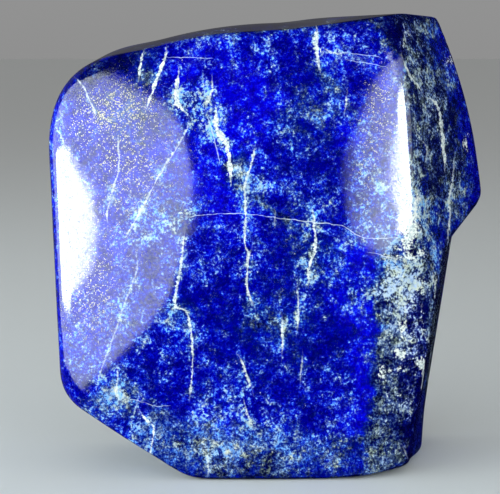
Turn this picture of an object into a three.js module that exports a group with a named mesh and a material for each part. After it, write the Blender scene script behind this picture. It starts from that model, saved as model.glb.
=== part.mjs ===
// A polished lapis lazuli freeform: one natural piece of stone, sawn and ground to flat and
// softly bulged faces. It stands on a small flat base and leans back a little.
//
// Millimetres. Every face is laid out in the front face's own frame: x to the right, v up the
// front face and w from it into the stone. The stone is then tipped back and stood on its
// base: +X to the right, +Y to the back, +Z up, with the origin under the middle of its box.

import * as THREE from "three";

// Driving dimensions.
const LEAN = THREE.MathUtils.degToRad(8); // how far the front face leans back from upright
const MID_HEIGHT = 80; // half the way up the front
const THICKNESS = 52.5; // front to back there, a little left of the middle
const BACK_TAPER = 0.07; // how much thinner the stone gets for each millimetre up the front
const BACK_FLARE = 0.08; // and how much thicker for each millimetre to the right
const FRONT_BULGE = 900; // radius of the front's slow outward curve
const BACK_BULGE = 2500; // radius of the back's
const TOP_BULGE = 160; // radius of the top's, left of the middle
const MIDDLE = [3, MID_HEIGHT, 26]; // a point deep in the stone, from which all of its faces are seen

// Widths of the ground-off bands along the edges where two faces meet.
const CRISP_EDGE = 1.6;
const PLAIN_EDGE = 2.5;
const BASE_EDGE = 3.5;
const BACK_EDGE = 4;
const LOWER_LEFT_CORNER = 7;
const TOP_LEFT_SHOULDER = 31;
const LEFT_EDGE_EXTRA = 5; // how much softer the front edge gets down the left side
const LEFT_SOFTENS = [-40, -70]; // from this x to this one
const LOW_EDGE_EXTRA = 1; // and along the bottom
const LOW_SOFTENS = [42, 12]; // from this v to this one
const LEFT_BEND = 4; // where the front bends back over its left third
const RIGHT_BEND = 3; // and before its right edge
const SIDE_BEND = 9; // where the upper right face bends towards the top
const FLANK_BEND = 5; // where the lower right flank straightens towards the base

// The mesh: rings of points from the middle of the front, over the rim, to the middle of the back.
const COLUMNS = 132;
const ROWS = 37;
const SLAB_SPREAD = 3; // rays are spread out by this much towards the slab's rim
const RIM_TILTS = [50, 70, 90, 110, 130].map(THREE.MathUtils.degToRad); // depths on the rim
const NEIGHBOURS = [-2, -1, 0, 1, 2]; // the columns that a column's rows are averaged over
const TURN_LENGTH = 22; // a turn of one radian counts as this many millimetres of surface
const SAMPLES = 480; // steps along a line before places are shared out on it
const LONGEST_RAY = 160;

// The larger of two distances, with the corner between them rounded off over a band.
function softMax(a, b, band) {
  const near = Math.max(band - Math.abs(a - b), 0) / band;
  return Math.max(a, b) + (near * near * band) / 4;
}

// The smaller of two distances, for an inward corner.
function softMin(a, b, band) {
  return -softMax(-a, -b, band);
}

// A ramp from 0 to 1 with soft ends, as a value goes from a start down to an end.
function rampDown(value, [start, end]) {
  return 1 - THREE.MathUtils.smoothstep(value, end, start);
}

// A ground face through a point, looking out of the stone along a direction. It gives the
// distance of any place in front of it, below zero on the stone's side.
function face(point, direction, bulge = Infinity) {
  const [nx, nv, nw] = new THREE.Vector3(...direction).normalize().toArray();
  return (x, v, w) => {
    const dx = x - point[0];
    const dv = v - point[1];
    const dw = w - point[2];
    const ahead = dx * nx + dv * nv + dw * nw;
    const asideSquared = dx * dx + dv * dv + dw * dw - ahead * ahead;
    return ahead + asideSquared / (2 * bulge);
  };
}

// The front: one broad face that bends back over its left third and a little before its right edge.
const frontMiddle = face([-5, 82, 0], [0, 0, -1], FRONT_BULGE);
const frontLeft = face([-48, 82, 1.6], [-0.208, 0.03, -0.978]);
const frontRight = face([42, 112, 1.2], [0.156, 0, -0.988]);

function front(x, v, w) {
  const left = softMax(frontMiddle(x, v, w), frontLeft(x, v, w), LEFT_BEND);
  return softMax(left, frontRight(x, v, w), RIGHT_BEND);
}

// The right side: a steep upper face that reaches out to the back, an undercut below it, and
// a lower flank that looks mostly forwards, with narrow steep faces behind it.
const upperRight = face([54.9, 98.6, 2], [1, 0.07, -0.635]);
const upperRightTop = face([53.2, 149.5, 2], [1, 0.42, -0.53]);
const flankUpper = face([52, 85.6, 2], [1, -0.28, -1.8]);
const flankLower = face([40.6, 39.6, 2], [1, -0.12, -1.8]);
const undercut = face([87.5, 98.6, 58], [1, -0.92, -0.05]);
const flankBack = face([68, 84.6, 10], [1, -0.165, -0.19]);
const lowRight = face([52, 23.6, 9], [1, -0.09, -0.48]);
const lowRightBack = face([63.6, 23.6, 33], [1, -0.07, -0.1]);

function rightSide(x, v, w) {
  const upper = softMax(upperRight(x, v, w), upperRightTop(x, v, w), SIDE_BEND);
  const flank = softMin(flankUpper(x, v, w), flankLower(x, v, w), FLANK_BEND);
  const facing = softMax(upper, flank, CRISP_EDGE);
  const notch = softMin(undercut(x, v, w), flankBack(x, v, w), CRISP_EDGE);
  const low = softMax(lowRight(x, v, w), lowRightBack(x, v, w), PLAIN_EDGE);
  const behind = softMin(notch, low, CRISP_EDGE);
  return softMax(facing, behind, PLAIN_EDGE);
}

// The top: a rising face from the left, a level one, a shallow dip, and a rise to the right
// corner, which is cut off level.
const topLeft = face([-30, 148.9, 1], [-0.27, 0.97, -0.35], TOP_BULGE);
const topMiddle = face([0, 153.9, 1], [-0.02, 0.97, -0.325]);
const topRight = face([30, 156.9, 1], [-0.137, 0.97, -0.22]);
const topCorner = face([52, 161.6, 4], [0, 1, -0.12]);

function top(x, v, w) {
  const leftAndMiddle = softMax(topLeft(x, v, w), topMiddle(x, v, w), CRISP_EDGE);
  const dipped = softMin(leftAndMiddle, topRight(x, v, w), CRISP_EDGE);
  return softMax(dipped, topCorner(x, v, w), CRISP_EDGE);
}

// The rest of the rim: the left side, the slanting lower left and the slight rise at the
// lower right of the base.
const leftSide = face([-70.2, 110.6, 10], [-1, -0.059, 0.1]);
const lowerLeft = face([-60.3, 25.9, 2], [-0.53, -0.848, 0]);
const lowerRight = face([45, 2.2, 6], [0.22, -0.964, -0.04]);

function rim(x, v, w) {
  const shoulder = softMax(leftSide(x, v, w), top(x, v, w), TOP_LEFT_SHOULDER);
  const corner = softMax(shoulder, lowerLeft(x, v, w), LOWER_LEFT_CORNER);
  return softMax(corner, lowerRight(x, v, w), BACK_EDGE);
}

// The back, and the base, which is level once the stone stands.
const back = face([0, MID_HEIGHT, THICKNESS], [-BACK_FLARE, BACK_TAPER, 1], BACK_BULGE);
const base = face([0, 0, 0], [0, -Math.cos(LEAN), Math.sin(LEAN)]);

// The whole stone: below zero inside it. The front's edge is crisp along the top and softens
// down the left side and along the bottom.
function stone(x, v, w) {
  const facing = softMax(front(x, v, w), rightSide(x, v, w), PLAIN_EDGE);
  const leftExtra = LEFT_EDGE_EXTRA * rampDown(x, LEFT_SOFTENS);
  const lowExtra = LOW_EDGE_EXTRA * rampDown(v, LOW_SOFTENS);
  const sides = softMax(facing, rim(x, v, w), CRISP_EDGE + leftExtra + lowExtra);
  const closed = softMax(sides, back(x, v, w), BACK_EDGE);
  return softMax(closed, base(x, v, w), BASE_EDGE);
}

// The point where the ray from the middle leaves the stone. Around turns about the front's
// own axis; tilt goes from 0 at the front to a half turn at the back.
function surfacePoint(around, tilt) {
  const out = SLAB_SPREAD * Math.sin(tilt);
  const ray = new THREE.Vector3(Math.cos(around) * out, Math.sin(around) * out, -Math.cos(tilt));
  ray.normalize();
  const [mx, mv, mw] = MIDDLE;
  let inside = 0;
  let outside = LONGEST_RAY;
  while (outside - inside > 1e-7) {
    const reach = (inside + outside) / 2;
    if (stone(mx + ray.x * reach, mv + ray.y * reach, mw + ray.z * reach) < 0) {
      inside = reach;
    } else {
      outside = reach;
    }
  }
  return new THREE.Vector3(mx, mv, mw).addScaledVector(ray, inside);
}

// Points all along a line, which gives the place of each from the part of the way along it.
function sampled(line) {
  return Array.from({ length: SAMPLES + 1 }, (_, i) => line(i / SAMPLES));
}

// How far a line of points has come at each of them, its turns counted as length too.
function distanceCome(points) {
  const come = [0];
  const before = new THREE.Vector3();
  const after = new THREE.Vector3();
  for (let i = 1; i < points.length; i++) {
    after.subVectors(points[i], points[i - 1]);
    const turn = i > 1 ? after.angleTo(before) : 0;
    come.push(come[i - 1] + after.length() + TURN_LENGTH * turn);
    before.copy(after);
  }
  return come;
}

function averaged(lists) {
  return lists[0].map((_, i) => lists.reduce((sum, list) => sum + list[i], 0) / lists.length);
}

// Shares places out evenly by the distance come: each as the part of the way along the line,
// without the line's end.
function sharedPlaces(come, count) {
  const stride = come[SAMPLES] / count;
  const places = [];
  let index = 0;
  for (let i = 0; i < count; i++) {
    while (come[index + 1] <= i * stride) {
      index++;
    }
    const along = (i * stride - come[index]) / (come[index + 1] - come[index]);
    places.push((index + along) / SAMPLES);
  }
  return places;
}

// The columns' turns about the front's axis: closer together at the rim's corners, at any depth.
function columnTurns() {
  const outlines = RIM_TILTS.map((tilt) => {
    return distanceCome(sampled((part) => surfacePoint(part * 2 * Math.PI, tilt)));
  });
  return sharedPlaces(averaged(outlines), COLUMNS).map((place) => place * 2 * Math.PI);
}

// Every column's points between the two poles. The rows are closer together at the edges that
// they cross, and each column's rows follow its neighbours', so that they run smoothly.
function allColumns() {
  const turns = columnTurns();
  const profiles = turns.map((around) => {
    return distanceCome(sampled((part) => surfacePoint(around, part * Math.PI)));
  });
  return turns.map((around, column) => {
    const near = NEIGHBOURS.map((step) => profiles[(column + step + COLUMNS) % COLUMNS]);
    const places = sharedPlaces(averaged(near), ROWS).slice(1);
    return places.map((place) => surfacePoint(around, place * Math.PI));
  });
}

// From the front face's frame to the standing stone.
function stand(point) {
  const back = point.z * Math.cos(LEAN) + point.y * Math.sin(LEAN);
  const up = point.y * Math.cos(LEAN) - point.z * Math.sin(LEAN);
  return new THREE.Vector3(point.x, back, up);
}

function stoneGeometry() {
  const points = [surfacePoint(0, 0), surfacePoint(0, Math.PI)];
  for (const column of allColumns()) {
    points.push(...column);
  }
  const rings = ROWS - 1;
  const at = (column, row) => 2 + (column % COLUMNS) * rings + row;
  const triangles = [];
  for (let column = 0; column < COLUMNS; column++) {
    triangles.push(0, at(column, 0), at(column + 1, 0));
    triangles.push(1, at(column + 1, rings - 1), at(column, rings - 1));
    for (let row = 0; row < rings - 1; row++) {
      triangles.push(at(column, row), at(column, row + 1), at(column + 1, row));
      triangles.push(at(column + 1, row), at(column, row + 1), at(column + 1, row + 1));
    }
  }
  const geometry = new THREE.BufferGeometry().setFromPoints(points.map(stand));
  geometry.setIndex(triangles);
  geometry.computeBoundingBox();
  const centre = geometry.boundingBox.getCenter(new THREE.Vector3());
  geometry.translate(-centre.x, -centre.y, 0);
  return geometry;
}

const lapis = new THREE.MeshStandardMaterial({ color: 0x1a2ab4, roughness: 0.12, metalness: 0 });
const lapisStone = new THREE.Mesh(stoneGeometry(), lapis);
lapisStone.name = "lapis_stone";

const part = new THREE.Group();
part.add(lapisStone);

export default part;
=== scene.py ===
import math

import bpy
import numpy as np
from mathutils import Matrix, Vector


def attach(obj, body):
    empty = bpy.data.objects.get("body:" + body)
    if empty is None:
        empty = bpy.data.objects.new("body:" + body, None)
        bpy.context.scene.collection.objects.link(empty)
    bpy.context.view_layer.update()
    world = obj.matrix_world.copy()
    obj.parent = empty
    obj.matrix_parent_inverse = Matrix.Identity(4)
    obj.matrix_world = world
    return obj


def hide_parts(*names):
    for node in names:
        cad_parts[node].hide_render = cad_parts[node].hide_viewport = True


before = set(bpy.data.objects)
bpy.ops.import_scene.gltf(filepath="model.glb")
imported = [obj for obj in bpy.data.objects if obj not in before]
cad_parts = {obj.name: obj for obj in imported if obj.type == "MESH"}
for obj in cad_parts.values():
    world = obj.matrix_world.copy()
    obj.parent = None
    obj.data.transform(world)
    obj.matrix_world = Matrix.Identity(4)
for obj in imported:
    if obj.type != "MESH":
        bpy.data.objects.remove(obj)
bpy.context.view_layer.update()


# ---- The ground stone ------------------------------------------------------------------------
# One natural piece of lapis lazuli, sawn from the rough, ground to flat and softly bulged
# faces and polished. It stands on a small flat base and its front leans back a little.
# The faces are in millimetres: x to the right, v up the front and w from it into the stone.

MM_IN_METRE = 1000
LEAN = math.radians(8)
THICKNESS = 52.5
MIDDLE = (3, 80, 26)  # deep in the stone: all of its faces are seen from here
PAST_THE_SKIN = 160.0  # the skin is nowhere this far from the middle
HALVINGS = 34  # of the reach between the middle and there, to find the skin
HALF_SIZE = (80, 80, 27)  # of the box whose grid is drawn onto the stone
SQUARES = (184, 186, 34)  # of that grid, across, up and from front to back


def rounded_max(a, b, edge):
    """Two faces that both cut the stone. Their edge is rounded over so many millimetres."""
    near = np.maximum(edge - np.abs(a - b), 0) / edge
    return np.maximum(a, b) + near * near * edge / 4


def rounded_min(a, b, edge):
    """Two faces that meet in a hollow."""
    return -rounded_max(-a, -b, edge)


def ramp(value, start, end):
    part = np.clip((value - start) / (end - start), 0, 1)
    return part * part * (3 - 2 * part)


def face(spot, point, direction, bulge=math.inf):
    """How far a spot lies in front of a ground face: below zero on the stone's side. The face
    goes through a point, looks in a direction, and may be a soft bulge of some radius."""
    out = np.array(direction) / np.linalg.norm(direction)
    away = spot - np.array(point)
    ahead = away @ out
    return ahead + ((away * away).sum(-1) - ahead * ahead) / (2 * bulge)


def front(spot):
    middle = face(spot, (-5, 82, 0), (0, 0, -1), bulge=900)
    left = face(spot, (-48, 82, 1.6), (-0.208, 0.03, -0.978))
    right = face(spot, (42, 112, 1.2), (0.156, 0, -0.988))
    return rounded_max(rounded_max(middle, left, edge=4), right, edge=3)


def right_side(spot):
    """Narrow faces down the right, with a notch where the upper ones overhang the flank."""
    upper = face(spot, (54.9, 98.6, 2), (1, 0.07, -0.635))
    upper_top = face(spot, (53.2, 149.5, 2), (1, 0.42, -0.53))
    flank_upper = face(spot, (52, 85.6, 2), (1, -0.28, -1.8))
    flank_lower = face(spot, (40.6, 39.6, 2), (1, -0.12, -1.8))
    undercut = face(spot, (87.5, 98.6, 58), (1, -0.92, -0.05))
    flank_back = face(spot, (68, 84.6, 10), (1, -0.165, -0.19))
    low = face(spot, (52, 23.6, 9), (1, -0.09, -0.48))
    low_back = face(spot, (63.6, 23.6, 33), (1, -0.07, -0.1))
    flank = rounded_min(flank_upper, flank_lower, edge=5)
    front_part = rounded_max(rounded_max(upper, upper_top, edge=9), flank, edge=1.6)
    notch = rounded_min(undercut, flank_back, edge=1.6)
    back_part = rounded_min(notch, rounded_max(low, low_back, edge=2.5), edge=1.6)
    return rounded_max(front_part, back_part, edge=2.5)


def top(spot):
    """A wavy top: a bulge on the left, a hollow right of the middle, and a level corner."""
    left = face(spot, (-30, 148.9, 1), (-0.27, 0.97, -0.35), bulge=160)
    middle = face(spot, (0, 153.9, 1), (-0.02, 0.97, -0.325))
    right = face(spot, (30, 156.9, 1), (-0.137, 0.97, -0.22))
    corner = face(spot, (52, 161.6, 4), (0, 1, -0.12))
    dipped = rounded_min(rounded_max(left, middle, edge=1.6), right, edge=1.6)
    return rounded_max(dipped, corner, edge=1.6)


def rim(spot):
    """The top, the left side, and the two slanting faces below."""
    left = face(spot, (-70.2, 110.6, 10), (-1, -0.059, 0.1))
    lower_left = face(spot, (-60.3, 25.9, 2), (-0.53, -0.848, 0))
    lower_right = face(spot, (45, 2.2, 6), (0.22, -0.964, -0.04))
    shoulder = rounded_max(left, top(spot), edge=31)
    return rounded_max(rounded_max(shoulder, lower_left, edge=7), lower_right, edge=4)


def stone(spot):
    """The whole stone: below zero inside it, and zero at its skin. The edges around the front
    and sides are softest on the left, and a little softer low down."""
    softness = 1.6 + 5 * ramp(spot[..., 0], -40, -70) + ramp(spot[..., 1], 42, 12)
    back = face(spot, (0, 80, THICKNESS), (-0.08, 0.07, 1), bulge=2500)
    base = face(spot, (0, 0, 0), (0, -math.cos(LEAN), math.sin(LEAN)))
    front_and_right = rounded_max(front(spot), right_side(spot), edge=2.5)
    all_round = rounded_max(front_and_right, rim(spot), edge=softness)
    return rounded_max(rounded_max(all_round, back, edge=4), base, edge=3.5)


def box_grid(squares):
    """The corners of a grid of squares all over a box, counted in whole steps, and the squares."""
    corners = []
    quads = []
    for axis in range(3):
        across, up = (axis + 1) % 3, (axis + 2) % 3
        for end in (0, squares[axis]):
            shape = (squares[across] + 1, squares[up] + 1)
            place = np.zeros(shape + (3,), int)
            place[..., across], place[..., up] = np.indices(shape)
            place[..., axis] = end
            number = np.arange(shape[0] * shape[1]).reshape(shape) + sum(map(len, corners))
            ring = [number[:-1, :-1], number[1:, :-1], number[1:, 1:], number[:-1, 1:]]
            turn = 1 if end else -1
            quads.append(np.stack(ring[::turn], -1).reshape(-1, 4))
            corners.append(place.reshape(-1, 3))
    whole, number = np.unique(np.concatenate(corners), axis=0, return_inverse=True)
    return whole, number.reshape(-1)[np.concatenate(quads)]


def out_to_skin(direction):
    """The spot where each ray from the middle leaves the stone."""
    inside = np.zeros(len(direction))
    outside = np.full(len(direction), PAST_THE_SKIN)
    for _ in range(HALVINGS):
        reach = (inside + outside) / 2
        within = stone(MIDDLE + direction * reach[:, None]) < 0
        inside = np.where(within, reach, inside)
        outside = np.where(within, outside, reach)
    return MIDDLE + direction * inside[:, None]


def skin_direction(spot):
    """The way the skin faces at each spot."""
    step = 0.05
    slope = [stone(spot + step * axis) - stone(spot - step * axis) for axis in np.eye(3)]
    slope = np.stack(slope, -1)
    return slope / np.linalg.norm(slope, axis=-1, keepdims=True)


def stand(spot):
    """From the front face's own frame to the standing stone, in metres."""
    back = spot[:, 2] * math.cos(LEAN) + spot[:, 1] * math.sin(LEAN)
    up = spot[:, 1] * math.cos(LEAN) - spot[:, 2] * math.sin(LEAN)
    return np.stack([spot[:, 0], back, up], -1) / MM_IN_METRE


corners, squares = box_grid(SQUARES)
rays = (2 * corners / SQUARES - 1) * HALF_SIZE
spots = out_to_skin(rays / np.linalg.norm(rays, axis=-1, keepdims=True))
facing = skin_direction(spots)

# The middle of the footprint comes to the origin, and the base to the ground.
places = stand(spots)
middle_of_box = (places.min(0) + places.max(0)) / 2
shift = np.array([middle_of_box[0], middle_of_box[1], places[:, 2].min()])
stone_mesh = bpy.data.meshes.new("lapis_stone_polished")
# The front face's frame is left-handed, so each square is turned round to face outwards.
stone_mesh.from_pydata((places - shift).tolist(), [], squares[:, ::-1].tolist())
stone_mesh.shade_smooth()
stone_piece = bpy.data.objects.new("lapis_stone_polished", stone_mesh)
bpy.context.scene.collection.objects.link(stone_piece)


# ---- The markings in the stone ---------------------------------------------------------------
# Calcite veins, patches and hairline cracks, pale clouds, clean blue pools, navy ground, grey
# matrix and pyrite. They are sheets and bodies that the grinding cut through, so each is laid
# out on the front and carried into the stone, twisting as it goes deeper. The navy and grey
# bands along the top are painted shade and painted reflection on the top face, not stone.

# A vein is half its width and the places (x, v) on the front that it passes through.
VEINS = [
    # the left third
    (0.32, [(-61, 140), (-57.5, 136), (-54, 129), (-52.5, 124)]),
    (0.2, [(-66.5, 131.5), (-64.5, 123.5), (-64.5, 118), (-65.5, 113)]),
    (0.25, [(-68.5, 124), (-64.5, 118), (-63.5, 114)]),
    (0.32, [(-45, 119.5), (-45, 107.5), (-47.5, 98.5), (-49, 92), (-48, 88)]),
    (0.34, [(-20.5, 124), (-23, 118), (-30.5, 106), (-36, 95.5), (-43, 83)]),
    (0.25, [(-39.5, 81.5), (-38.5, 73.5), (-42.5, 62.5), (-47, 49), (-51.5, 37), (-53, 30)]),
    (0.3, [(-45, 41.5), (-45.5, 30.5), (-43, 27)]),
    (0.2, [(-37, 32.5), (-41, 20)]),
    (0.45, [(-38, 25.5), (-35.5, 22), (-33, 19), (-33.5, 14), (-35, 7)]),
    # under the top edge
    (0.55, [(-36.2, 148.5), (-37.2, 144.5), (-38, 138)]),
    (0.65, [(-28.8, 149), (-28.8, 146), (-31, 140.5), (-33, 135), (-35.5, 128)]),
    (0.85, [(-24.3, 141), (-25, 134), (-25, 130), (-21.5, 126)]),
    (0.5, [(-13, 139), (-13, 134), (-15.5, 127.5)]),
    (0.8, [(22.8, 156), (22.8, 148), (23.8, 141.5)]),
    (0.35, [(24, 150), (28, 147.3), (35, 147)]),
    (0.5, [(33.3, 134), (33, 131), (32.3, 127)]),
    # down the middle
    (0.95, [(-11.5, 128), (-11.5, 122), (-8, 115.5), (-7, 110), (-6.5, 103)]),
    (0.42, [(2, 116), (0.5, 109), (-1.7, 102), (-1.5, 92), (-1.8, 82), (-0.7, 78), (-1, 67), (1.5, 60)]),
    (0.25, [(0.5, 79), (1, 83)]),
    (0.42, [(-22, 87), (-23.5, 75), (-25.5, 61), (-21.5, 58.5), (-19.5, 45), (-20.5, 29)]),
    (0.62, [(21.5, 93), (22.2, 84.5), (22, 79), (20, 74), (20, 68)]),
    (0.35, [(16, 68), (16.5, 59), (16, 51)]),
    (0.42, [(11, 58), (11, 43)]),
    (0.25, [(18, 45), (17, 33)]),
    (0.42, [(-4, 44), (-2, 40), (1, 31)]),
    (0.38, [(-2.5, 30), (-1, 24), (1.5, 18)]),
    (0.25, [(-13, 22), (-11.5, 18)]),
    (0.32, [(-15.5, 13), (-14, 5), (-15, 1)]),
    (0.55, [(8.5, 93), (8.5, 88.5)]),
    # the upper right face and the flank
    (0.45, [(52.3, 147), (53.5, 143.5), (55.5, 140), (58.5, 137.5), (61, 134.5)]),
    (0.22, [(57, 141), (61, 143), (64, 145.5)]),
    (0.85, [(63, 133.5), (66, 132.5), (68, 129), (69, 122), (69.5, 116.5), (70, 109)]),
    (0.28, [(57.5, 125.5), (57, 121), (61, 117), (62, 114.5), (61, 108.5)]),
    (0.4, [(74.5, 115), (73.5, 105.5), (71.5, 97), (72, 93), (71, 85.5), (70.5, 82)]),
    (0.35, [(63.5, 73.5), (65.5, 63.5)]),
    (0.4, [(53, 11.5), (54, 9.5), (55.5, 6)]),
]

# Cracks healed with a hair of white.
HAIRLINES = [
    (0.1, [(-21.5, 91), (-13.5, 92), (-2, 92), (11, 90.5), (24, 89), (31.5, 88), (39, 84), (50, 84)]),
    (0.06, [(-44, 28), (-39, 28.5), (-32.5, 26.5), (-28, 26.5)]),
    (0.06, [(-28, 145.7), (-13.5, 145.3)]),
    (0.07, [(33, 147.3), (44, 146)]),
    (0.05, [(33, 145), (46.5, 142.5)]),
    (0.12, [(41, 79), (50, 77), (61.5, 78)]),
    (0.16, [(-14.5, 125), (-12, 117), (-10.5, 110)]),
]

# A body is its middle (x, v), its reach to the side and up, its turn in degrees to the left,
# and its strength. Each kind is listed from the top of the stone down.

# Pale blue clouds, where the flecks crowd together.
CLOUDS = [
    (39, 151, 9, 4, 0, 0.5),
    (6, 150, 4, 3, 40, 0.7),
    (58, 148, 8, 8, 0, 0.5),
    (-4, 146, 3, 5, -20, 0.5),
    (-34, 144, 4, 4, 0, 0.5),
    (27.5, 137.6, 2, 7.5, 41, 0.7),
    (-21, 130, 8, 6, 20, 1.3),
    (-40, 128, 9, 7, 0, 0.3),
    (-17, 128, 4, 4, 0, 0.5),
    (64, 128, 9, 34, 10, 0.5),
    (-16, 122, 6, 7, 0, 1.0),
    (-12, 122, 4, 6, 0, 0.6),
    (14, 122, 8, 8, 0, 0.45),
    (-9, 113, 4, 5, 0, 0.6),
    (-58, 108, 6, 12, 0, 0.4),
    (-4, 107, 3, 6, 0, 0.9),
    (43, 106, 5, 20, 0, 0.6),
    (40, 105, 8, 22, 0, 0.7),
    (-14, 104, 5, 5, 0, 0.4),
    (54.8, 104, 1.2, 12, 2, 1.2),
    (3, 103, 4, 4, 0, 1.2),
    (58, 101, 4, 10, 0, 0.9),
    (57, 92, 4, 14, 0, 1.6),
    (-32, 91, 14, 7, 15, 0.9),
    (-24.8, 90, 4, 4, 0, 0.9),
    (62, 88, 4, 8, 0, 0.8),
    (-22, 87, 3, 7, 0, 0.6),
    (-36, 80, 16, 24, 0, 0.3),
    (22, 77, 6, 12, 0, 0.6),
    (50, 72, 6, 17, 0, 1.8),
    (38.5, 67, 6, 5, -30, 0.8),
    (46, 66, 4, 9, 0, 0.9),
    (60, 66, 7, 16, 0, 1.3),
    (-21.5, 59.5, 3, 3, 0, 0.5),
    (-47, 58, 8, 10, 0, 0.5),
    (2, 58, 6, 6, -30, 0.7),
    (-25, 57, 5, 6, 0, 0.4),
    (13.5, 56, 5, 5, 0, 0.6),
    (-57, 50, 7, 16, 0, 0.4),
    (-39, 46, 4, 5, 0, 0.6),
    (0, 34, 3, 6, 0, 0.4),
    (-47, 31, 10, 6, 25, 1.3),
    (-12, 30, 7, 8, 0, 0.5),
    (-3, 29, 3, 4, 0, 0.5),
    (46, 28, 4, 23, 0, 0.15),
    (-34, 23, 5, 6, 0, 0.7),
    (-1, 22, 4, 9, 0, 0.3),
    (-40, 21, 5, 5, 0, 0.5),
    (-0.7, 18, 3, 3, 0, 0.5),
    (5, 18, 4, 5, 0, 0.5),
    (-37, 17, 4, 4, 0, 0.5),
    (-24, 15, 6, 5, 0, 0.4),
    (-22, 14, 4, 4, 0, 0.5),
    (9.9, 13, 3, 3, 0, 1.0),
    (-33, 12, 7, 6, -30, 0.8),
    (-12, 12, 9, 6, 0, 0.5),
    (4, 12, 30, 7, 0, 0.5),
]

# Clean pools of the purest blue.
POOLS = [
    (-24, 140, 5, 4, 0, 0.6),
    (54.5, 133, 1.2, 12, 2, 1.6),
    (0, 131, 8, 9, 0, 1.0),
    (-10, 118, 10, 26, 0, 0.5),
    (33, 118, 5, 5, 0, 0.5),
    (-13, 99, 6, 6, 0, 0.3),
    (39, 76, 6, 5, 0, 0.8),
    (42.2, 60, 2, 9, 0, 0.8),
    (31, 55, 7, 12, 0, 0.6),
    (38, 35, 3, 30, 0, 0.4),
    (40.3, 22, 1.3, 15, 4, 1.5),
]

# Darker ground with few flecks.
NAVY_AND_TOP_SHADE = [
    # This band is painted shade: it darkens the whole top face.
    (0, 159, 50, 4, 5, 1.8),
    (50, 153, 2.5, 6, 32, 0.6),
    (60, 148, 9, 12, 0, 0.2),
    (-49, 142.5, 14, 4.5, 20, 3.4),
    (11, 140, 7, 5, 0, 0.6),
    (-47, 139, 10, 3, 15, 1.5),
    (-30, 136, 4, 4, 0, 0.8),
    (27, 132, 4, 5, 0, 0.5),
    (12, 120.5, 4, 4, 0, 0.5),
    (69, 117, 1.5, 8, 0, 1.2),
    (62, 110, 8, 30, 0, 0.2),
    (25, 105, 9, 9, 0, 1.0),
    (85, 105, 4, 30, 8, 1.2),
    (29, 91.5, 6, 5, 0, 0.4),
    (62, 80, 6, 12, 0, 0.5),
    (10, 72, 8, 12, 0, 0.9),
    (-29, 56, 4, 4, 0, 0.5),
    (-9, 55, 8, 14, 0, 0.9),
    (-30, 45, 9, 8, 0, 0.4),
    (10, 45, 25, 18, 0, 0.3),
    (26, 45, 7, 14, 0, 0.6),
    (54, 42, 8, 12, 0, 0.7),
    (-57, 29, 6, 4, -30, 1.0),
    (13.6, 18, 5, 5, 0, 0.5),
    (49, 18, 7, 16, 0, 0.55),
    (60, 18, 4, 16, 0, 3.2),
    (-7.5, 9.4, 3.5, 3.5, 0, 0.8),
    (35.4, 8.4, 2.5, 5, 0, 0.8),
    (0, -1, 60, 4, 0, 1.2),
]

# Grey host rock mixed into the blue.
MATRIX_AND_TOP_REFLECTION = [
    # This band is painted shade and painted reflection: it turns the whole top face dark grey.
    (0, 159.5, 55, 4, 5, 2.4),
    (54, 156, 7, 6, 0, 1.2),
    (50, 153, 2.5, 6, 32, 1.6),
    (-49, 143, 14, 4, 20, 1.3),
    (-36, 139, 3, 4, 0, 0.8),
    (27.5, 137.6, 2.5, 8, 41, 0.5),
    (20, 126, 9, 12, 0, 0.4),
    (-42, 125, 16, 14, 0, 0.62),
    (62, 125, 8, 36, 8, 1.1),
    (56, 120, 3, 38, 4, 0.8),
    (73, 118, 8, 34, 10, 1.0),
    (-5, 106, 3, 6, 20, 0.8),
    (9.9, 91.7, 1.3, 12, 51, 0.9),
    (20, 88, 20, 36, 0, 0.3),
    (20, 76, 4, 6, 0, 0.4),
    (47, 66, 4, 12, 0, 1.0),
    (58, 62, 8, 20, 0, 1.3),
    (-23, 60, 3, 4, 0, 0.7),
    (2, 56, 6, 5, 0, 0.4),
    (11, 52, 4, 6, 0, 0.4),
    (5, 48, 34, 22, 0, 0.3),
    (48.3, 44, 4.2, 10, 0, 1.5),
    (-46, 29, 12, 8, 20, 0.5),
    (46.5, 28, 4.4, 10, 0, 1.7),
    (57, 28, 7, 30, 0, 2.8),
    (67, 20, 4, 24, 0, 2.2),
    (-20, 14, 18, 8, -20, 0.35),
    (30.6, 13, 5, 4, 0, 0.5),
    (44.3, 12, 5, 10, 0, 1.5),
    (6, 8, 34, 9, 0, 0.5),
    (7.5, 6, 6, 3, 0, 0.5),
    (0, 0, 60, 4, 0, 0.6),
]

# A veil of fine grey grains.
HAZE = [
    (27.5, 137.6, 2, 7.5, 41, 1.0),
    (18, 128, 7, 12, 0, 0.5),
    (70, 128, 5, 24, 10, 0.4),
    (60, 126, 5, 32, 8, 0.6),
    (31, 118, 9, 5, 0, 0.3),
    (-3.5, 108, 3.5, 6, 0, 1.1),
    (2, 102, 4, 4, 0, 0.7),
    (9.9, 91.7, 1.3, 12, 51, 0.9),
    (47.5, 70, 5, 17, 0, 1.6),
    (-22, 57, 6, 5, 0, 0.6),
    (2, 57, 5, 5, 0, 0.4),
    (14, 57, 5, 5, 0, 0.4),
    (59, 50, 7, 30, 0, 0.4),
    (48.3, 46, 4, 12, 0, 1.4),
    (-48, 31, 9, 5, 25, 1.2),
    (45.5, 26, 4, 14, 0, 1.5),
    (-33, 20, 5, 6, 0, 0.7),
    (50, 20, 6, 16, 0, 0.6),
    (-20, 14, 16, 8, -20, 1.0),
    (-30, 12, 9, 5, -30, 0.8),
    (6, 10, 30, 9, 0, 1.1),
    (-26, 9.7, 5, 4, 0, 0.5),
    (44, 8, 4, 10, 0, 1.3),
]

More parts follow.
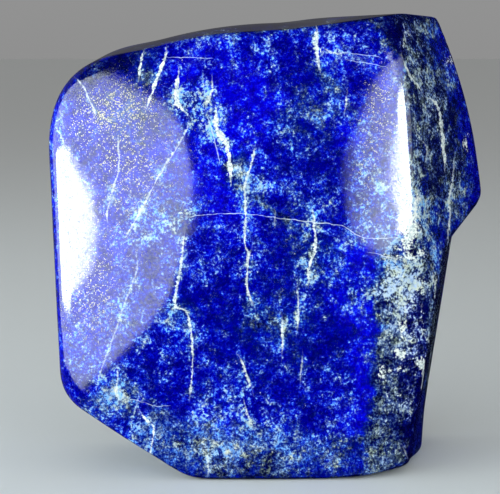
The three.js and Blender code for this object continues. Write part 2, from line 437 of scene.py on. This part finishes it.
# White patches.
CALCITE = [
    (74, 150, 3, 4, 0, 0.5),
    (81, 119, 1.2, 4, 0, 0.8),
    (56.5, 92, 3, 10, 0, 0.8),
    (54, 84, 2.5, 7, 0, 0.85),
    (59.5, 79, 1.4, 1.4, 0, 1.0),
    (56, 77, 4, 1.2, 0, 0.6),
    (50.5, 72, 2.5, 8, 0, 0.35),
    (64.5, 68, 1, 6, 10, 0.6),
    (61, 55, 1.6, 7, 0, 0.65),
    (52, 53, 1.8, 7, 0, 0.75),
    (50.5, 44.5, 1.4, 4, 50, 0.7),
    (60, 40, 1.8, 3, 30, 1.3),
    (53, 39, 1, 2, 0, 0.65),
    (50, 38.5, 1.5, 2, 0, 0.65),
    (46.3, 37, 1.8, 5, 12, 0.62),
    (63, 36, 1.5, 4, 10, 1.3),
    (47.3, 29.5, 1.2, 3, 25, 0.55),
    (51.5, 29.5, 2.4, 1, 0, 0.6),
]

# Where the gold specks lie thick.
PYRITE = [
    (46, 132, 7, 15, 0, 0.85),
    (-42, 130, 12, 8, 0, 1.0),
    (-56, 126, 8, 9, 0, 0.8),
    (-40, 112, 18, 18, 0, 0.8),
    (40, 108, 7, 24, 0, 0.7),
    (-42, 95, 22, 28, 0, 0.35),
    (-52, 66, 14, 26, 0, 0.6),
    (-56, 60, 12, 16, 0, 0.36),
    (-50, 29, 9, 6, 20, 0.5),
]

STEP = 0.8  # between the places worked out along a vein
VEIN_REACH = 6  # a vein is not looked for further off than this
FAR_OFF = 99.0  # the distance of a vein that is out of reach
TAPER = 3  # a vein thins out over this length at both ends,
THINNEST = 0.35  # down to this share of its width


def through(points):
    """A smooth line through a few places, as many small steps: a Catmull-Rom spline."""
    points = np.array(points, float)
    ahead = np.vstack([2 * points[0] - points[1], points, 2 * points[-1] - points[-2]])
    line = []
    for a, b, c, d in zip(ahead, ahead[1:], ahead[2:], ahead[3:]):
        count = max(int(np.linalg.norm(c - b) / STEP), 1)
        t = np.arange(count)[:, None] / count
        bend = (2 * a - 5 * b + 4 * c - d) * t * t + (3 * b - a - 3 * c + d) * t * t * t
        line.append((2 * b + (c - a) * t + bend) / 2)
    return np.vstack(line + [points[-1:]])


def lines_seen(lines, x, v):
    """For each place: how far it is to the left of the nearest line, or below zero to the right,
    its plain distance from it, and the line's half width, which tapers to both ends."""
    spot = np.stack([x, v], -1)
    distance = np.full(len(x), FAR_OFF)
    offset = np.full(len(x), FAR_OFF)
    width = np.zeros(len(x))
    for half_width, points in lines:
        line = through(points)
        middle = (line.min(0) + line.max(0)) / 2
        reach = VEIN_REACH + np.ptp(line, axis=0).max() / 2
        close = np.nonzero(np.abs(spot - middle).max(-1) < reach)[0]
        start, way = line[:-1], np.diff(line, axis=0)
        away = spot[close, None] - start
        along = np.clip((away * way).sum(-1) / (way * way).sum(-1), 0, 1)
        apart = np.linalg.norm(away - along[..., None] * way, axis=-1)
        nearest = apart.argmin(1)
        rows = np.arange(len(close))
        side = way[nearest, 0] * away[rows, nearest, 1] - way[nearest, 1] * away[rows, nearest, 0]
        apart = apart[rows, nearest]
        part = (nearest + along[rows, nearest]) / len(way)
        taper = np.clip(np.minimum(part, 1 - part) * len(way) * STEP / TAPER, THINNEST, 1)
        nearer = apart < distance[close]
        chosen = close[nearer]
        distance[chosen] = apart[nearer]
        offset[chosen] = (np.sign(side) * apart)[nearer]
        width[chosen] = (half_width * taper)[nearer]
    return offset, distance, width


def bodies_seen(bodies, x, v):
    """How strongly the bodies of one kind show at each place. Their sides waver by a
    millimetre or so."""
    total = np.zeros(len(x))
    x = x + 0.9 * np.sin(v / 3.7 + 0.08 * x) + 0.6 * np.sin(v / 1.6 - 0.2 * x)
    for middle_x, middle_v, reach_x, reach_v, turn, strength in bodies:
        right, above = x - middle_x, v - middle_v
        cosine, sine = math.cos(math.radians(turn)), math.sin(math.radians(turn))
        across = (right * cosine + above * sine) / reach_x
        up = (above * cosine - right * sine) / reach_v
        total += strength * np.exp(-across * across - up * up)
    return total


LINES = {"vein": VEINS, "hair": HAIRLINES}
BODIES = {
    "cloud": CLOUDS,
    "pool": POOLS,
    "navy": NAVY_AND_TOP_SHADE,
    "matrix": MATRIX_AND_TOP_REFLECTION,
    "haze": HAZE,
    "calcite": CALCITE,
    "pyrite": PYRITE,
}


def markings(x, v):
    """Each kind of marking at each place, by the name that the polished surface reads."""
    seen = {}
    for kind, lines in LINES.items():
        offset, distance, width = lines_seen(lines, x, v)
        seen[kind + "_offset"] = offset
        seen[kind + "_distance"] = distance
        seen[kind + "_width"] = width
    for kind, bodies in BODIES.items():
        seen[kind] = bodies_seen(bodies, x, v)
    return seen


TWIST = 1.3  # radians that the sheets turn by between two depths
TWIST_DEPTHS = (10, 52)
FRONT_STARTS = -0.34  # a skin whose direction has this w begins to be marked as the front is,
FRONT_WHOLE = -0.42  # and with this one it is wholly marked so
SIDE_NAVY = 0.8  # the sides and the back are darker than the front,
SIDE_MATRIX = 0.5  # and have more matrix in them

x, v, w = spots.T
twist = TWIST * ramp(w, *TWIST_DEPTHS)
away_x, away_v = x - MIDDLE[0], v - MIDDLE[1]
twisted_x = MIDDLE[0] + away_x * np.cos(twist) - away_v * np.sin(twist)
twisted_v = MIDDLE[1] + away_v * np.cos(twist) + away_x * np.sin(twist)
faces_forward = ramp(facing[:, 2], FRONT_STARTS, FRONT_WHOLE)
straight_markings = markings(x, v)
twisted_markings = markings(twisted_x, twisted_v)
twisted_markings["navy"] += SIDE_NAVY
twisted_markings["matrix"] += SIDE_MATRIX
for name, straight in straight_markings.items():
    seen = twisted_markings[name] + (straight - twisted_markings[name]) * faces_forward
    layer = stone_mesh.attributes.new(name, "FLOAT", "POINT")
    layer.data.foreach_set("value", seen.astype(np.float32))


# ---- The polished surface --------------------------------------------------------------------
# Grains of ultramarine lazurite with paler ones between them, all cut and polished flush.
# Calcite takes a softer polish than the blue, and the pyrite shows as specks of dull gold.


class Level:
    """A number that varies over a surface. Sums and products of levels are nodes as well."""

    def __init__(self, socket):
        self.socket = socket

    def __add__(self, other):
        return calc("ADD", self, other)

    def __mul__(self, other):
        return calc("MULTIPLY", self, other)

    def __sub__(self, other):
        return calc("SUBTRACT", self, other)

    def __rsub__(self, other):
        return calc("SUBTRACT", other, self)

    def __abs__(self):
        return calc("ABSOLUTE", self)

    __radd__ = __add__
    __rmul__ = __mul__


def start_nodes(owner):
    """Empties a material's nodes, or the sky's. The calls that follow fill them."""
    global nodes, links
    owner.use_nodes = True
    nodes = owner.node_tree.nodes
    links = owner.node_tree.links
    nodes.clear()


def put(socket, value):
    """Gives an input its number, colour, level or other node's output."""
    if isinstance(value, Level):
        value = value.socket
    if isinstance(value, bpy.types.NodeSocket):
        links.new(value, socket)
    elif isinstance(value, tuple) and socket.type == "RGBA":
        socket.default_value = (*value, 1)
    else:
        socket.default_value = value


def calc(operation, *values):
    node = nodes.new("ShaderNodeMath")
    node.operation = operation
    for socket, value in zip(node.inputs, values):
        put(socket, value)
    return Level(node.outputs[0])


def fade(value, start, end, first=0, last=1, shape="SMOOTHSTEP"):
    """From the first number to the last as a value goes from the start to the end."""
    node = nodes.new("ShaderNodeMapRange")
    node.interpolation_type = shape
    put(node.inputs["Value"], value)
    put(node.inputs["From Min"], start)
    put(node.inputs["From Max"], end)
    put(node.inputs["To Min"], first)
    put(node.inputs["To Max"], last)
    return Level(node.outputs["Result"])


def marking(name):
    """A marking that the mesh carries."""
    node = nodes.new("ShaderNodeAttribute")
    node.attribute_name = name
    return Level(node.outputs["Fac"])


def noise(place, size, detail, roughness=0.55, distortion=0):
    """Random tones in grains of about one size, in millimetres, around zero."""
    node = nodes.new("ShaderNodeTexNoise")
    put(node.inputs["Vector"], place)
    put(node.inputs["Scale"], MM_IN_METRE / size)
    put(node.inputs["Detail"], detail)
    put(node.inputs["Roughness"], roughness)
    put(node.inputs["Distortion"], distortion)
    return Level(node.outputs["Fac"]) - 0.5


def cells(place, size):
    """Cells of about one size, in millimetres: the distance from a cell's middle, in parts of
    that size, and a random tone for each cell."""
    node = nodes.new("ShaderNodeTexVoronoi")
    put(node.inputs["Vector"], place)
    put(node.inputs["Scale"], MM_IN_METRE / size)
    return Level(node.outputs["Distance"]), Level(node.outputs["Color"])


def tones(value, stops):
    """A colour for each value, from dark to pale."""
    node = nodes.new("ShaderNodeValToRGB")
    put(node.inputs["Fac"], value)
    band = node.color_ramp
    while len(band.elements) < len(stops):
        band.elements.new(0.5)
    for element, (place, color) in zip(band.elements, stops):
        element.position = place
        element.color = (*color, 1)
    return node.outputs["Color"]


def mix(part, first, second, blend="MIX"):
    """The first colour, with some part of the second one blended in."""
    node = nodes.new("ShaderNodeMix")
    node.data_type = "RGBA"
    node.blend_type = blend
    put(node.inputs["Factor"], part)
    put(node.inputs[6], first)
    put(node.inputs[7], second)
    return node.outputs[2]


lapis = bpy.data.materials.new("polished_lapis")
start_nodes(lapis)

# The grain of the stone runs from front to back: everything in it is longest that way.
ALONG_GRAIN = (1, 0.65, 1)
spot_in_stone = nodes.new("ShaderNodeTexCoord").outputs["Object"]
along_grain = nodes.new("ShaderNodeVectorMath")
along_grain.operation = "MULTIPLY"
put(along_grain.inputs[0], spot_in_stone)
put(along_grain.inputs[1], ALONG_GRAIN)
place = along_grain.outputs[0]
fine = noise(place, 0.9, detail=3, roughness=0.7, distortion=0.3)
swell = noise(place, 2.6, detail=1)
hue = noise(place, 3.1, detail=5, roughness=0.8)
clumps = noise(place, 4.2, detail=3, roughness=0.6, distortion=0.6)
mottle = noise(place, 4.8, detail=4, roughness=0.75)
drifts = noise(place, 13, detail=2, roughness=0.5)
grit = noise(spot_in_stone, 0.55, detail=1)

# The veins wander a little, swell and thin out, and have a fringe of pale grains.
vein_distance = marking("vein_distance")
vein_width = marking("vein_width")
vein_off = abs(marking("vein_offset") + (0.7 * fine + 0.8 * swell))
vein_out = vein_off - vein_width * (3.4 * mottle + 2.0 * fine + 0.7)
vein_part = fade(vein_out, 0.2, -0.12) * fade(vein_distance, 1.7, 1.1)
vein_part = vein_part * fade(vein_width, 0.02, 0.55) * (0.45 * fade(hue, 0.12, -0.05) + 0.55)
vein_fringe = fade(vein_distance, 2.8, 0) * fade(vein_width, 0.05, 0.4) * fade(mottle, -0.15, 0.1)
hair_off = abs(swell + marking("hair_offset"))
hair_part = fade(hair_off - marking("hair_width"), 0.12, -0.06)
hair_part = hair_part * fade(marking("hair_distance"), 1.2, 0.8) * fade(mottle, -0.25, 0.1)

# How pale the stone is: deep blue ground with pale flecks, which crowd together in the clouds
# and along the veins. Where the pyrite lies thick the blue is more even.
cloud = marking("cloud")
pool = marking("pool")
navy = marking("navy")
matrix = marking("matrix")
pyrite = marking("pyrite")
GROUND_TONE = 0.365
flecks = 2.3 * fine + 1.8 * clumps + 0.9 * drifts
contrast = 1 + 0.35 * cloud + 0.05 * matrix - 0.53 * pyrite
tone = flecks * contrast + GROUND_TONE + 0.2 * cloud - 0.17 * navy - 0.1 * pool
tone = tone + 0.33 * vein_fringe + 0.6 * (drifts * fade(matrix, 0, 1.2))
deep_blue = tones(tone, [
    (0.05, (0, 0, 0.17)),
    (0.3, (0.001, 0.001, 0.31)),
    (0.46, (0.004, 0.006, 0.38)),
    (0.57, (0.015, 0.033, 0.45)),
    (0.69, (0.06, 0.125, 0.6)),
    (0.82, (0.17, 0.32, 0.77)),
    (0.98, (0.4, 0.6, 0.86)),
])
pure_blue = tones(tone, [
    (0.0, (0.001, 0, 0.34)),
    (0.4, (0.003, 0.001, 0.54)),
    (0.56, (0.008, 0.015, 0.62)),
    (0.69, (0.04, 0.09, 0.73)),
    (0.82, (0.13, 0.27, 0.85)),
    (0.98, (0.4, 0.6, 0.9)),
])
dull_blue = tones(tone, [
    (0.1, (0, 0.003, 0.17)),
    (0.38, (0.004, 0.017, 0.22)),
    (0.53, (0.017, 0.045, 0.26)),
    (0.67, (0.05, 0.11, 0.36)),
    (0.8, (0.13, 0.25, 0.48)),
    (0.98, (0.35, 0.52, 0.68)),
])

# Where matrix is mixed in, the stone is olive-grey, and in its thick the ground is nearly black
# with grey to white flecks.
olive_grey = tones(tone, [
    (0.05, (0, 0.001, 0.055)),
    (0.24, (0.005, 0.011, 0.088)),
    (0.44, (0.025, 0.043, 0.12)),
    (0.63, (0.084, 0.125, 0.21)),
    (0.79, (0.21, 0.29, 0.38)),
    (0.91, (0.46, 0.56, 0.59)),
])
black_grey = tones(tone, [
    (0.05, (0, 0, 0.05)),
    (0.28, (0, 0.001, 0.085)),
    (0.4, (0.004, 0.008, 0.127)),
    (0.5, (0.018, 0.028, 0.15)),
    (0.58, (0.047, 0.068, 0.19)),
    (0.68, (0.155, 0.195, 0.34)),
    (0.78, (0.35, 0.43, 0.54)),
    (0.92, (0.76, 0.83, 0.82)),
])
pure_level = drifts + pool - navy
matrix_level = matrix + 2.2 * mottle + 1.2 * hue
dull_level = matrix_level + 0.3 * vein_fringe + 0.25 * cloud
color = mix(fade(pure_level, -0.1, 0.35), deep_blue, pure_blue)
color = mix(fade(dull_level, 0.05, 0.8), color, dull_blue)
color = mix(fade(matrix_level, 0.5, 0.95), color, olive_grey)
color = mix(fade(matrix_level, 1.2, 2.2), color, black_grey)

# A haze of fine grains lies over it in patches: blue-grey, and olive to cream in the matrix.
haze_tone = tone - 0.5 * drifts - 0.7 * clumps
blue_haze = tones(haze_tone, [
    (0.1, (0, 0.005, 0.2)),
    (0.3, (0.009, 0.031, 0.25)),
    (0.53, (0.048, 0.109, 0.37)),
    (0.7, (0.11, 0.21, 0.52)),
    (0.9, (0.25, 0.41, 0.71)),
])
olive_haze = tones(haze_tone, [
    (0.02, (0, 0.001, 0.05)),
    (0.18, (0.001, 0.004, 0.083)),
    (0.34, (0.022, 0.04, 0.12)),
    (0.52, (0.089, 0.13, 0.195)),
    (0.73, (0.24, 0.31, 0.37)),
    (0.94, (0.6, 0.69, 0.7)),
])
haze_color = mix(fade(matrix_level, 0.35, 0.9), blue_haze, olive_haze)
haze_level = marking("haze") + 1.2 * mottle + 1.6 * hue
color = mix(0.85 * fade(haze_level, 0.2, 1.2), color, haze_color)

# From grain to grain the colour shades off, cooler here and warmer there, and by half as much
# where the matrix is pale.
COOL_BLUE = (0.5, 0.92, 1.25)
COOL_MATRIX = (0.54, 0.77, 1.5)
WARM_BLUE = (1.3, 0.96, 0.62)
WARM_MATRIX = (1.14, 1.03, 0.56)
in_matrix = fade(matrix_level, 0.4, 1.2)
pale_matrix = in_matrix * fade(tone, 0.5, 0.85)
cool_shade = mix(in_matrix, COOL_BLUE, COOL_MATRIX)
warm_shade = mix(in_matrix, WARM_BLUE, WARM_MATRIX)
warmth = fade(hue + 0.45 * swell + 0.3 * grit, -0.18, 0.18)
color = mix(1 - 0.5 * pale_matrix, color, mix(warmth, cool_shade, warm_shade), blend="MULTIPLY")
color.node.clamp_result = True

# White calcite: in patches, in the veins and in the hairline cracks. Small pits are open in it, drawn as
# dark spots of painted shade.
CALCITE_GREY = (0.42, 0.5, 0.52)
CALCITE_WHITE = (0.86, 0.89, 0.82)
HAIR_WHITE = (0.7, 0.78, 0.9)
PIT_SHADE = (0.04, 0.035, 0.03)
calcite_part = fade(marking("calcite") + 2.0 * (fine + mottle), 0.55, 0.85)
white = mix(fade(fine, -0.12, 0.1), CALCITE_GREY, CALCITE_WHITE)
white_part = calc("MAXIMUM", calcite_part, vein_part)
color = mix(white_part, color, white)
color = mix(0.7 * hair_part, color, HAIR_WHITE)
from_pit, _ = cells(spot_in_stone, 1.6)
pit_shade_part = fade(from_pit, 0.24, 0.14) * calcite_part
# Painted shade: the pits are dark spots in the colour, not hollows in the mesh.
color = mix(0.85 * pit_shade_part, color, PIT_SHADE)

# Pyrite: specks as fine as sand, polished down to a dull gold, thickest in the upper left.
GOLD = (0.46, 0.42, 0.31)
from_speck, speck_tone = cells(spot_in_stone, 0.42)
speck_size = pyrite * (1.35 * speck_tone - 0.62) + 0.5 * mottle
specks = fade(from_speck - speck_size, 0.12, -0.06)
color = mix(specks, color, GOLD)

# The polish leaves the skin very slightly wavy, and some grains a hair proud.
WAVE_HEIGHT = 0.00002  # metres
GRAIN_HEIGHT = 0.000006
relief = WAVE_HEIGHT * noise(spot_in_stone, 9, detail=1) + GRAIN_HEIGHT * fine
bump = nodes.new("ShaderNodeBump")
put(bump.inputs["Distance"], 1)
put(bump.inputs["Height"], relief)

# Some grains take a brighter polish than others, so a mirrored light looks finely sanded.
surface = nodes.new("ShaderNodeBsdfPrincipled")
put(surface.inputs["Base Color"], color)
put(surface.inputs["Metallic"], 0.12 * specks)
put(surface.inputs["Roughness"], 0.04 + 0.08 * white_part + 0.15 * specks)
put(surface.inputs["Specular IOR Level"], 0.5 + 1.15 * grit)
put(surface.inputs["IOR"], 1.5)
put(surface.inputs["Normal"], bump.outputs["Normal"])
finish = nodes.new("ShaderNodeOutputMaterial")
put(finish.inputs["Surface"], surface.outputs["BSDF"])

stone_mesh.materials.append(lapis)
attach(stone_piece, "root")
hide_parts("lapis_stone")


# ---- The studio ------------------------------------------------------------------------------
# A pale floor that runs out to a pale sky, and two soft lights in front of the stone, left and
# right of the camera. Each is a glowing card, curved around the stone, with a brighter lamp in
# front of it that shows only in the polish.

far = 20  # metres, out to where the floor meets the sky
floor_corners = [(-far, -far, 0), (far, -far, 0), (far, far, 0), (-far, far, 0)]
floor_mesh = bpy.data.meshes.new("floor")
floor_mesh.from_pydata(floor_corners, [], [(0, 1, 2, 3)])
floor = bpy.data.objects.new("floor", floor_mesh)
bpy.context.scene.collection.objects.link(floor)
floor.visible_glossy = False  # it does not mirror in the polish
pale = bpy.data.materials.new("pale_floor")
pale.use_nodes = True
pale_surface = pale.node_tree.nodes["Principled BSDF"]
put(pale_surface.inputs["Base Color"], (0.69, 0.71, 0.7))
put(pale_surface.inputs["Roughness"], 0.7)
floor_mesh.materials.append(pale)

CARD_COLOR = (0.9, 1.01, 1.06)
CARD_DISTANCE = 1.1
LAMP_DISTANCE = 1.0
CARD_LEVEL = 0.08  # the height of the stone's middle, which the cards are aimed at


def card(name, distance, columns):
    """A glowing card, curved around the stone. Each of its columns is so many degrees to the
    right of straight ahead, reaches from one height to another in degrees above level, and
    glows so strongly."""
    corners = []
    glows = []
    for right, low, high, glow in columns:
        sideways = math.radians(right)
        for above in (math.radians(low), math.radians(high)):
            way = Vector((math.sin(sideways), -math.cos(sideways), math.tan(above)))
            corners.append(Vector((0, 0, CARD_LEVEL)) + distance * way.normalized())
            glows.append(glow)
    strips = [(i, i + 1, i + 3, i + 2) for i in range(0, len(corners) - 2, 2)]
    mesh = bpy.data.meshes.new(name)
    mesh.from_pydata(corners, [], strips)
    mesh.attributes.new("glow", "FLOAT", "POINT").data.foreach_set("value", glows)
    glowing = bpy.data.materials.new(name)
    start_nodes(glowing)
    light = nodes.new("ShaderNodeEmission")
    put(light.inputs["Color"], CARD_COLOR)
    put(light.inputs["Strength"], marking("glow"))
    put(nodes.new("ShaderNodeOutputMaterial").inputs["Surface"], light.outputs[0])
    mesh.materials.append(glowing)
    piece = bpy.data.objects.new(name, mesh)
    bpy.context.scene.collection.objects.link(piece)
    piece.visible_camera = False
    return piece


card("left_light", CARD_DISTANCE, [
    (-5.8, 10, 15, 4), (-7.4, 6, 17.5, 5.6), (-8.7, 3, 19.3, 5.6),
    (-11.3, 1.5, 20.6, 5.6), (-14, 0, 21, 5.6), (-18, -1.5, 21.3, 5.6),
    (-23, -3, 21.4, 5.6), (-27.6, -4, 21.4, 5.6), (-35, -5, 25.5, 5.6),
    (-45, -6, 30.5, 5.6), (-57, -6, 34, 5.6), (-70, -6, 35, 5.6),
    (-80, -6, 35, 5.6), (-89, -6, 33, 5), (-98, -5, 27, 3),
])
card("right_light", CARD_DISTANCE, [
    (12.8, 14, 15.5, 0.2), (14, 11.5, 17, 1.4), (15, 9, 18.8, 2.6),
    (16, 8.2, 22, 3.6), (17.5, 7.5, 23.3, 4.8), (19, 7, 24.4, 6.4),
    (22, 6.5, 24.8, 8), (26, 6, 25, 7), (42, 5, 25.1, 5.5),
    (56, 5, 24.8, 4.5), (70, 5, 24, 3.5), (84, 6, 22.6, 2.5),
    (96, 7, 20.7, 2), (108, 8, 18.5, 1.5),
])
left_lamp = card("left_lamp", LAMP_DISTANCE, [
    (-26.3, 8, 9, 3), (-27.5, 7, 10.8, 16), (-29.5, 6, 12.8, 27),
    (-32, 5, 14, 32), (-35, 4, 15.3, 32), (-45, 2.5, 15, 32),
    (-58, 1, 13.2, 32), (-72, -1, 10, 32),
])
right_lamp = card("right_lamp", LAMP_DISTANCE, [
    (20.6, 13, 15, 12), (21.6, 10.5, 18.5, 26), (23, 9, 19.2, 32),
    (27.5, 6, 19.9, 32), (34, 4, 20.4, 32), (45, 5, 20.5, 32),
    (54, 6, 20.3, 32), (68, 8, 19, 32),
])
for lamp in (left_lamp, right_lamp):
    lamp.visible_diffuse = False  # the lamps show in the polish and light nothing else

# The stone mirrors hardly any of the sky, apart from a part behind it and to its left.
HORIZON = 0.35
ZENITH = 0.62
MIRRORED_SKY = 0.01
MIRRORED_BEHIND = 0.3

studio = bpy.data.worlds.new("studio")
bpy.context.scene.world = studio
start_nodes(studio)
direction = nodes.new("ShaderNodeSeparateXYZ")
put(direction.inputs[0], nodes.new("ShaderNodeTexCoord").outputs["Generated"])
sideways, backward, upward = (Level(socket) for socket in direction.outputs)
behind = fade(backward - sideways, 0.8, 0.95, MIRRORED_SKY, MIRRORED_BEHIND, shape="LINEAR")
mirrored = Level(nodes.new("ShaderNodeLightPath").outputs["Is Glossy Ray"])
brightness = fade(upward, 0, 1, HORIZON, ZENITH, shape="LINEAR")
sky = nodes.new("ShaderNodeBackground")
put(sky.inputs["Strength"], brightness * (1 - mirrored * (1 - behind)))
put(nodes.new("ShaderNodeOutputWorld").inputs["Surface"], sky.outputs[0])

bpy.context.scene.view_settings.view_transform = "Standard"


# ---- The camera ------------------------------------------------------------------------------
# It looks square at the middle of the leaning front, from a little under half a metre away,
# and takes in the whole stone with a little of the floor.

CAMERA_FROM_FRONT = 480
CAMERA_AIM = (0, 80.8)  # where its line of sight meets the front, in the front's own frame
MM_ACROSS = 170  # how much of the front plane it sees from left to right
SENSOR_WIDTH = 36

camera_spot = stand(np.array([(*CAMERA_AIM, -CAMERA_FROM_FRONT)]))[0] - shift
camera_data = bpy.data.cameras.new("camera")
camera_data.sensor_width = SENSOR_WIDTH
camera_data.lens = SENSOR_WIDTH * CAMERA_FROM_FRONT / MM_ACROSS
camera = bpy.data.objects.new("camera", camera_data)
camera.location = camera_spot
camera.rotation_euler = (math.radians(90) - LEAN, 0, 0)
bpy.context.scene.collection.objects.link(camera)
bpy.context.scene.camera = camera
